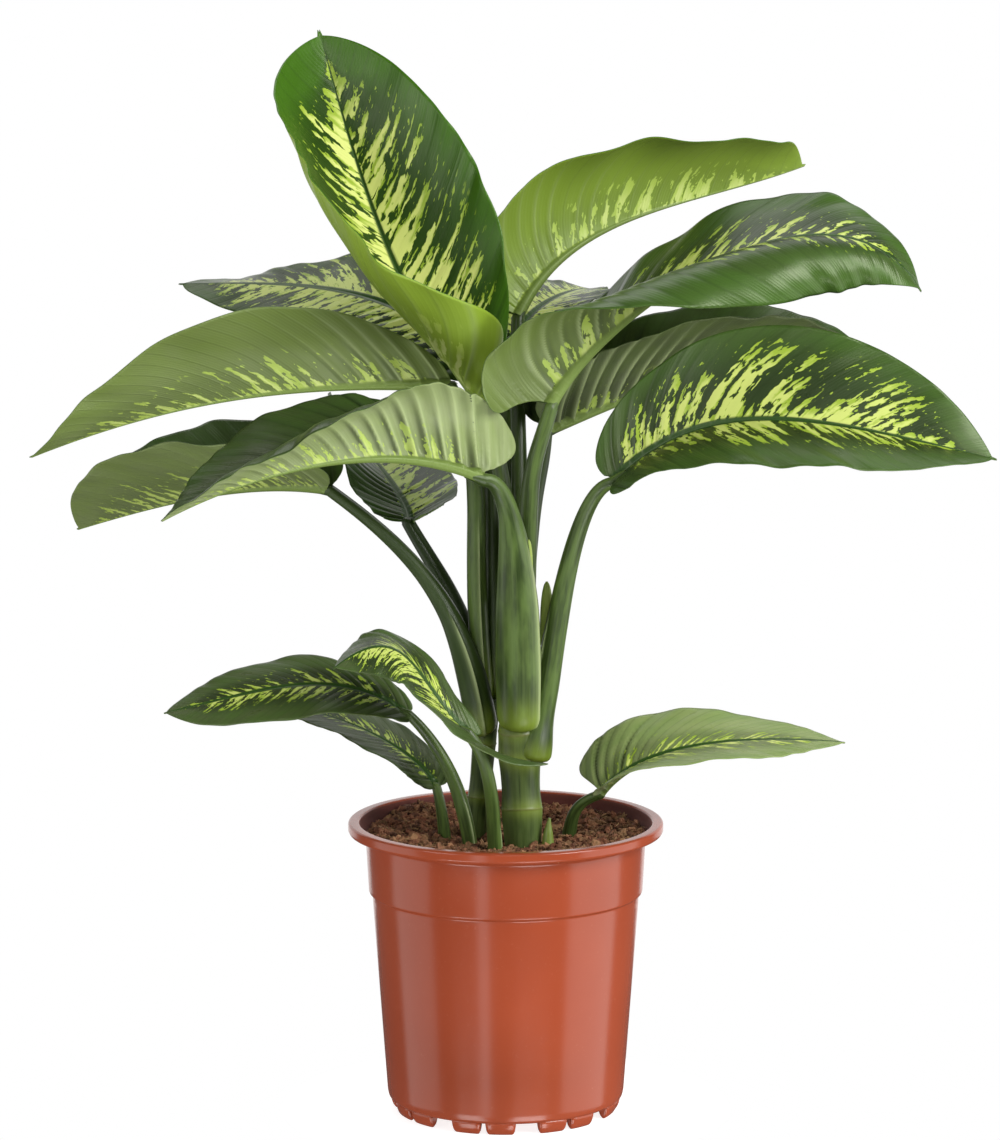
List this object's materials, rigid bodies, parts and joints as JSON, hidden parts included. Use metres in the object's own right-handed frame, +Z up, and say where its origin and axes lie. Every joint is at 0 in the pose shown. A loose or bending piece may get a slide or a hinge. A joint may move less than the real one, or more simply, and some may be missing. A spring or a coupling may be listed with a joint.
{
  "type": "potted dieffenbachia",
  "caption": "Variegated dieffenbachia with broad arching leaves on green canes, in a tapered terracotta plastic nursery pot with a lip and a footed base.",
  "frame": {"origin": "on the axis of the pot, at the level of the feet that it stands on", "axes": "+Z up, +X to the right of the front, and the front of the plant faces -Y"},
  "size_m": [0.6273, 0.3284, 0.7172],
  "materials": {
    "pot": "satin terracotta plastic",
    "soil": "coarse brown potting soil",
    "cane": "smooth green stem with pale node rings",
    "stalk": "smooth satin green",
    "blade": "glossy leaf, dark green with yellow-green blotches along the midrib"
  },
  "bodies": {
    "root": {"pot": "pot", "soil": "soil", "cane_main": "cane", "cane_back": "cane", "shoot_young": "cane", "stalk_crown": "stalk", "stalk_top_right": "stalk", "stalk_upper_right": "stalk", "stalk_mid_right": "stalk", "stalk_front_right": "stalk", "stalk_upper_left": "stalk", "stalk_front_left": "stalk", "stalk_mid_left": "stalk", "stalk_top_left": "stalk", "stalk_back_left": "stalk", "stalk_back_right": "stalk", "stalk_low_left": "stalk", "stalk_lowest_left": "stalk", "stalk_low_front": "stalk", "stalk_low_right": "stalk", "blade_crown": "blade", "blade_top_right": "blade", "blade_upper_right": "blade", "blade_mid_right": "blade", "blade_front_right": "blade", "blade_upper_left": "blade", "blade_front_left": "blade", "blade_mid_left": "blade", "blade_top_left": "blade", "blade_back_left": "blade", "blade_back_right": "blade", "blade_low_left": "blade", "blade_lowest_left": "blade", "blade_low_front": "blade", "blade_low_right": "blade"}
  },
  "joints": []
}
